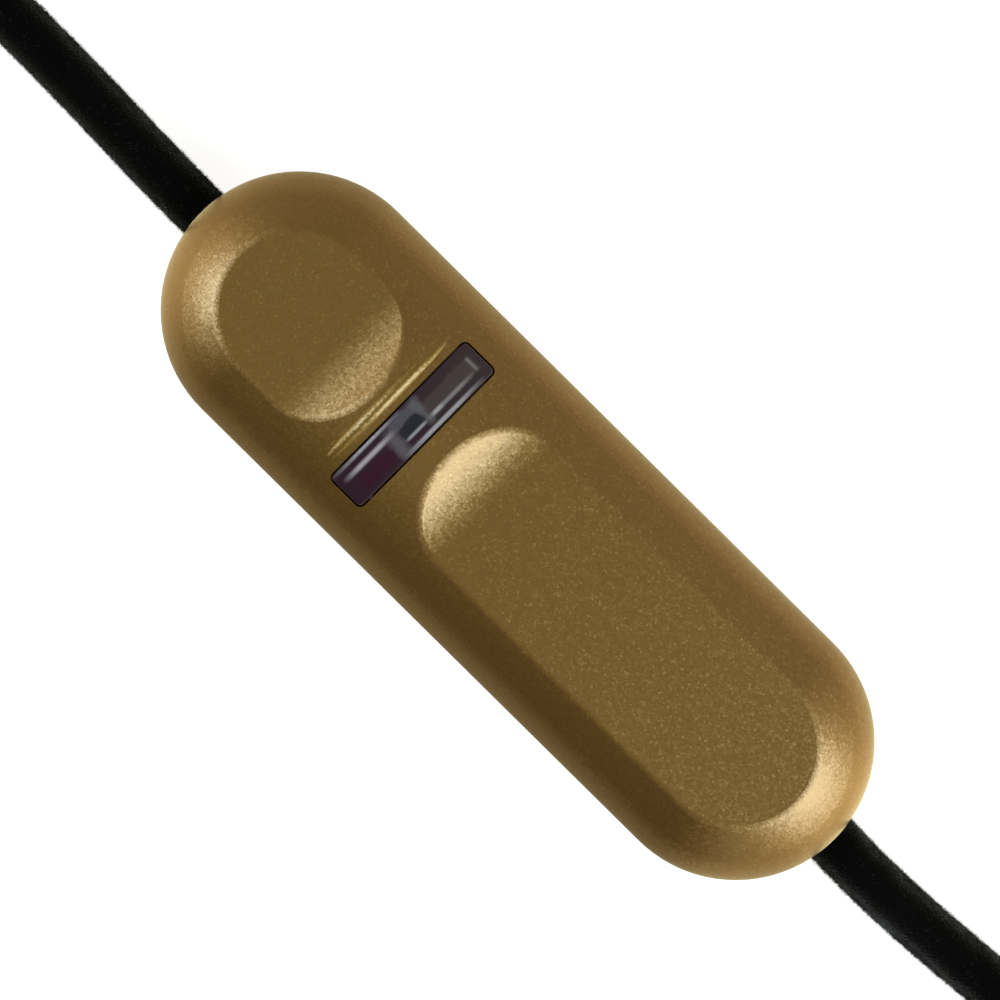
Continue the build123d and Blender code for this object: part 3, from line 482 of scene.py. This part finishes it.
def cord_piece(name, points, material):
    """The lead as a tube of braid: strands in relief where it can be seen close, and a fine nap."""
    radius = cord_diameter / 2 * MM

    def steps(distance):
        return (fine_step if distance < shown_stretch * MM else coarse_step) * MM

    path, gone = even_points(spline_points(name + "_guide", points), steps)
    frames = frames_along(path)
    vertices = []
    for point, at, (tangent, side, up) in zip(path, gone, frames):
        fade = min(1.0, max(0.0, (shown_stretch - at / MM) / 6.0))
        for k in range(cord_sides):
            angle = 2 * math.pi * k / cord_sides
            along = at / MM / braid_pitch
            around = braid_strands * k / cord_sides
            first = abs(math.sin(math.pi * (along + around)))
            second = abs(math.sin(math.pi * (along - around)))
            phase = swell_rate * at / MM + wander * math.sin(wander_rate * at / MM)
            swell = math.sin(phase + swell_lean * math.cos(angle))
            lift = braid_relief * (max(first, second) - 1.0) + braid_swell * swell
            lift *= MM * fade
            out = side * math.cos(angle) + up * math.sin(angle)
            vertices.append(point + out * (radius + lift))
    faces = []
    for j in range(len(path) - 1):
        for k in range(cord_sides):
            right = (k + 1) % cord_sides
            faces.append((j * cord_sides + k, j * cord_sides + right,
                          (j + 1) * cord_sides + right, (j + 1) * cord_sides + k))
    faces.append(tuple(reversed(range(cord_sides))))
    faces.append(tuple((len(path) - 1) * cord_sides + k for k in range(cord_sides)))
    piece = new_piece(name, vertices, faces, material)
    piece.visible_glossy = False  # the paint at the ends would mirror it as a dark band
    layer = piece.data.uv_layers.new(name="cord")
    values = []
    for polygon in piece.data.polygons:
        columns = [v % cord_sides for v in polygon.vertices]
        wraps = 0 in columns and cord_sides - 1 in columns
        for vertex in polygon.vertices:
            row, column = divmod(vertex, cord_sides)
            turned = cord_sides if wraps and column == 0 else column
            values += [gone[row] / MM / braid_pitch, braid_strands * turned / cord_sides]
    layer.data.foreach_set("uv", values)
    return piece, path, gone, frames


def nap_piece(name, path, gone, frames, material, seed):
    """Loose fibres that stand a little off the braid, each a thin closed spike."""
    chance = random.Random(seed)
    radius = cord_diameter / 2 * MM
    vertices = []
    faces = []
    stretch = shown_stretch - nap_start
    for k in range(int(stretch * nap_per_mm)):
        at = (nap_start + stretch * chance.random()) * MM
        j = min(int(np.searchsorted(gone, at)), len(path) - 1)
        tangent, side, up = frames[j]
        angle = chance.uniform(0, 2 * math.pi)
        if abs(math.sin(angle)) > 0.6 and chance.random() < nap_aside:
            angle = chance.choice((0.0, math.pi)) + chance.uniform(-nap_side, nap_side)
        out = side * math.cos(angle) + up * math.sin(angle)
        across = tangent.cross(out)
        swing = chance.uniform(0, 2 * math.pi)
        lie = tangent * math.cos(swing) + across * math.sin(swing)
        root = path[j] + tangent * (at - gone[j]) + out * (radius - fibre_root * MM)
        length = chance.uniform(*fibre_length)
        rise = length * chance.uniform(*fibre_rise)
        tip = root + (lie * math.sqrt(max(0.0, length**2 - rise**2)) + out * (rise + 0.05)) * MM
        if min(root.z, tip.z) < table_clearance * MM:
            continue
        width = lie.cross(out) * chance.uniform(*fibre_width) * MM
        start = len(vertices)
        vertices += [root + width, root - width, root + out * fibre_thickness * MM, tip]
        faces += [(start, start + 2, start + 3), (start + 2, start + 1, start + 3),
                  (start + 1, start, start + 3), (start, start + 1, start + 2)]
    return new_piece(name, vertices, faces, material, smooth=False)


def paint(material, *names):
    """Gives CAD nodes their material."""
    for name in names:
        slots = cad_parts[name].data.materials
        slots.clear()
        slots.append(material)


# How bright the room's walls and its table look in the paint, by the bearing in degrees from +X
wall_bearings = [
    (0, 1.10), (20, 1.00), (45, 0.50), (75, 0.47), (90, 0.30), (135, 0.39), (165, 0.31), (185, 0.82),
    (205, 0.89), (225, 0.37), (250, 0.17), (270, 0.02), (290, 0.03), (315, 0.58), (340, 0.16), (360, 1.10),
]
table_bearings = [
    (0, 1.66), (20, 1.60), (45, 1.04), (75, 0.82), (90, 0.58), (135, 0.50), (165, 0.66), (185, 0.92),
    (205, 1.10), (225, 0.88), (250, 0.47), (270, 0.27), (290, 0.33), (315, 0.80), (340, 0.68), (360, 1.66),
]
brightest = 5.0  # a colour ramp holds up to 1, so levels are divided by this and multiplied again
room_colour = rgb(1.0, 0.90, 0.60)
floor_colour = rgb(1.0, 0.88, 0.50)
white = rgb(1.0, 1.0, 1.0)
zenith_level = 0.045
zenith_spread = 0.5  # how fast the walls dim with height
table_size = 6.0  # metres
table_gap = 0.02  # millimetres under the object, so that no two faces lie in one plane
table_shade = 0.4  # to the camera, which sees it white with its glow and the lamps' light
table_glow = 0.9
bounce_shade = 0.01  # to every other ray, which has the table's light from its bearing's level instead
lamp_distance = 0.7  # metres
lamp_colour = (0.98, 1.19, 1.17)
lamps = [  # name, bearing, degrees from plumb, watts, width in metres
    ("key", 9.0, 50.0, 2.73, 0.603),
    ("fill", 211.2, 47.8, 1.54, 0.378),
]


def bearing_level(shade, direction, bearings):
    """The brightness in a direction by its bearing, and the direction's height."""
    axes = shade.axes(direction)
    angle = shade.math("ARCTAN2", axes["Y"], axes["X"])
    turn = shade.math("FRACT", shade.math("ADD", shade.math("DIVIDE", angle, 2 * math.pi), 1.0))
    stops = [(bearing / 360, (level / brightest,) * 3) for bearing, level in bearings]
    return shade.math("MULTIPLY", shade.ramp(turn, stops), brightest), axes["Z"]


def lit_table():
    """A white table that keeps the object's shadow, and that is clear from below."""
    mesh = bpy.data.meshes.new("table")
    half = table_size / 2
    low = -table_gap * MM
    corners = [(-half, -half, low), (half, -half, low), (half, half, low), (-half, half, low)]
    mesh.from_pydata(corners, [], [(0, 1, 2, 3)])
    table = bpy.data.objects.new("table", mesh)
    bpy.context.scene.collection.objects.link(table)
    table.visible_glossy = False  # what the paint mirrors below the horizon is the room's lower half instead
    shade = Shader("white_table")
    seen = shade.add("ShaderNodeLightPath").outputs["Is Camera Ray"]
    level = bearing_level(shade, shade.place(), table_bearings)[0]
    shade.set(Base_Color=shade.mix(seen, rgb(*[bounce_shade] * 3), rgb(*[table_shade] * 3)), Roughness=0.9)
    shade.set(Specular_IOR_Level=0.0, Emission_Color=shade.mix(seen, room_colour, white))
    shown = shade.math("MULTIPLY", seen, table_glow)
    hidden = shade.math("MULTIPLY", shade.math("SUBTRACT", 1.0, seen), level)
    shade.set(Emission_Strength=shade.math("ADD", shown, hidden))
    clear = shade.add("ShaderNodeBsdfTransparent").outputs["BSDF"]
    from_below = shade.add("ShaderNodeNewGeometry").outputs["Backfacing"]
    mixed = shade.add("ShaderNodeMixShader", {0: from_below, 1: shade.surface.outputs["BSDF"], 2: clear})
    shade.put(shade.nodes["Material Output"].inputs["Surface"], mixed.outputs["Shader"])
    mesh.materials.append(shade.material)


def studio():
    """A white table, two soft lamps at the picture's left and right, and walls that dim with height."""
    lit_table()
    for name, bearing, slope, power, width in lamps:
        data = bpy.data.lights.new(name, "AREA")
        data.shape = "DISK"
        data.size = width
        data.energy = power
        data.color = lamp_colour
        lamp = bpy.data.objects.new(name, data)
        tilt = math.radians(slope)
        turn = math.radians(bearing)
        direction = Vector((math.sin(tilt) * math.cos(turn), math.sin(tilt) * math.sin(turn), math.cos(tilt)))
        lamp.location = direction * lamp_distance
        lamp.rotation_euler = direction.to_track_quat("Z", "Y").to_euler()
        bpy.context.scene.collection.objects.link(lamp)

    world = bpy.data.worlds.new("room")
    bpy.context.scene.world = world
    world.use_nodes = True
    room = Room(world)
    seen = room.add("ShaderNodeLightPath").outputs["Is Camera Ray"]
    direction = room.add("ShaderNodeTexCoord").outputs["Generated"]
    wall, height = bearing_level(room, direction, wall_bearings)
    below = bearing_level(room, direction, table_bearings)[0]
    flat = room.math("MAXIMUM", room.math("SUBTRACT", 1.0, room.math("MULTIPLY", height, height)), 0.0)
    fading = room.math("POWER", flat, zenith_spread)
    added = room.math("MULTIPLY", room.math("SUBTRACT", wall, zenith_level), fading)
    above = room.math("ADD", zenith_level, added)
    is_below = room.math("LESS_THAN", height, 0.0)
    kept = room.math("MULTIPLY", above, room.math("SUBTRACT", 1.0, is_below))
    level = room.math("ADD", kept, room.math("MULTIPLY", below, is_below))
    tint = room.mix(is_below, room_colour, floor_colour)
    room.put(room.surface.inputs["Strength"], room.math("MAXIMUM", level, seen))
    room.put(room.surface.inputs["Color"], room.mix(seen, tint, white))


def camera():
    """The picture's view: down on the housing, which lies from upper left to lower right."""
    data = bpy.data.cameras.new("camera")
    data.sensor_fit = "HORIZONTAL"
    data.sensor_width = sensor_width
    data.lens = sensor_width * view_distance / view_width
    data.clip_end = 20.0
    eye = bpy.data.objects.new("camera", data)
    eye.rotation_euler = (-math.radians(view_tilt), 0.0, math.radians(view_turn))
    away = eye.rotation_euler.to_matrix() @ Vector((0, 0, view_distance * MM))
    eye.location = Vector(view_centre) * MM + away
    bpy.context.scene.collection.objects.link(eye)
    bpy.context.scene.camera = eye


def cords():
    """Both leads with their nap."""
    black = braid()
    fibre = nap_fibre()
    line, path, gone, frames = cord_piece("mains_lead", line_route + turn_points(line_hank) + line_end, black)
    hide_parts("line_cord", "line_cord_hank", "line_cord_end")
    nap = nap_piece("mains_lead_nap", path, gone, frames, fibre, 3)
    lamp, path, gone, frames = cord_piece("lamp_lead", lamp_route + turn_points(lamp_hank) + lamp_end, black)
    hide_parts("lamp_cord", "lamp_cord_hank", "lamp_cord_end")
    nap = nap_piece("lamp_lead_nap", path, gone, frames, fibre, 4)


def finishes():
    """The CAD nodes' materials."""
    paint(gold_paint(), "top_cover", "bottom_cover")
    paint(smoky_plastic(), "indicator_lens")
    paint(moulded("led_body", (0.02, 0.012, 0.014), 0.2), "indicator_led")
    paint(metal("tinned_steel", (0.62, 0.62, 0.64), 0.3),
          "led_leads", "round_touch_contact", "long_touch_contact", "power_switch_legs")
    paint(moulded("board_laminate", (0.01, 0.09, 0.04), 0.35), "circuit_board")
    paint(metal("copper_foil", (0.75, 0.38, 0.20), 0.3), "round_touch_plate", "long_touch_plate")
    paint(metal("sheet_aluminium", (0.75, 0.76, 0.78), 0.35, (1.0, 8.0, 8.0)), "heat_sink")
    paint(moulded("black_component", (0.016, 0.016, 0.017), 0.4),
          "power_switch", "fuse", "control_chip", "diodes")
    paint(moulded("ferrite", (0.035, 0.035, 0.040), 0.5), "choke_core")
    paint(metal("enamelled_copper", (0.55, 0.20, 0.08), 0.25, (1.0, 1.0, 6.0)), "choke_winding")
    paint(moulded("yellow_component", (0.60, 0.36, 0.03), 0.35), "film_capacitor")
    paint(moulded("can_sleeve", (0.02, 0.03, 0.09), 0.3), "electrolytic_capacitor")
    paint(moulded("blue_lacquer", (0.10, 0.25, 0.42), 0.3), "resistors")
    paint(moulded("terminal_green", (0.02, 0.16, 0.07), 0.4), "line_terminal_block", "lamp_terminal_block")
    paint(metal("zinc_plate", (0.68, 0.69, 0.71), 0.28), "terminal_screws", "clamp_screws", "housing_screws")
    paint(moulded("clamp_black", (0.02, 0.02, 0.02), 0.45), "line_cord_clamp", "lamp_cord_clamp")
    paint(moulded("brown_core", (0.10, 0.035, 0.015), 0.4),
          "line_brown_core", "lamp_brown_core", "lamp_brown_lead")
    paint(moulded("blue_core", (0.02, 0.09, 0.35), 0.4),
          "line_blue_core", "lamp_blue_core", "lamp_blue_lead")
    paint(strap(), "line_hank_ties", "lamp_hank_ties")
    paint(moulded("plug_black", (0.014, 0.014, 0.015), 0.42, 3.0, 0.02), "plug_body")
    paint(metal("nickel", (0.72, 0.69, 0.64), 0.16, (8.0, 1.0, 1.0)), "plug_pins")
    paint(moulded("sleeve_black", (0.018, 0.018, 0.018), 0.35), "plug_pin_sleeves")
    paint(metal("tinned_ferrule", (0.70, 0.70, 0.70), 0.3, (4.0, 1.0, 1.0)), "lead_ferrules")


camera()
cords()
finishes()
studio()

bpy.context.scene.view_settings.view_transform = "Standard"
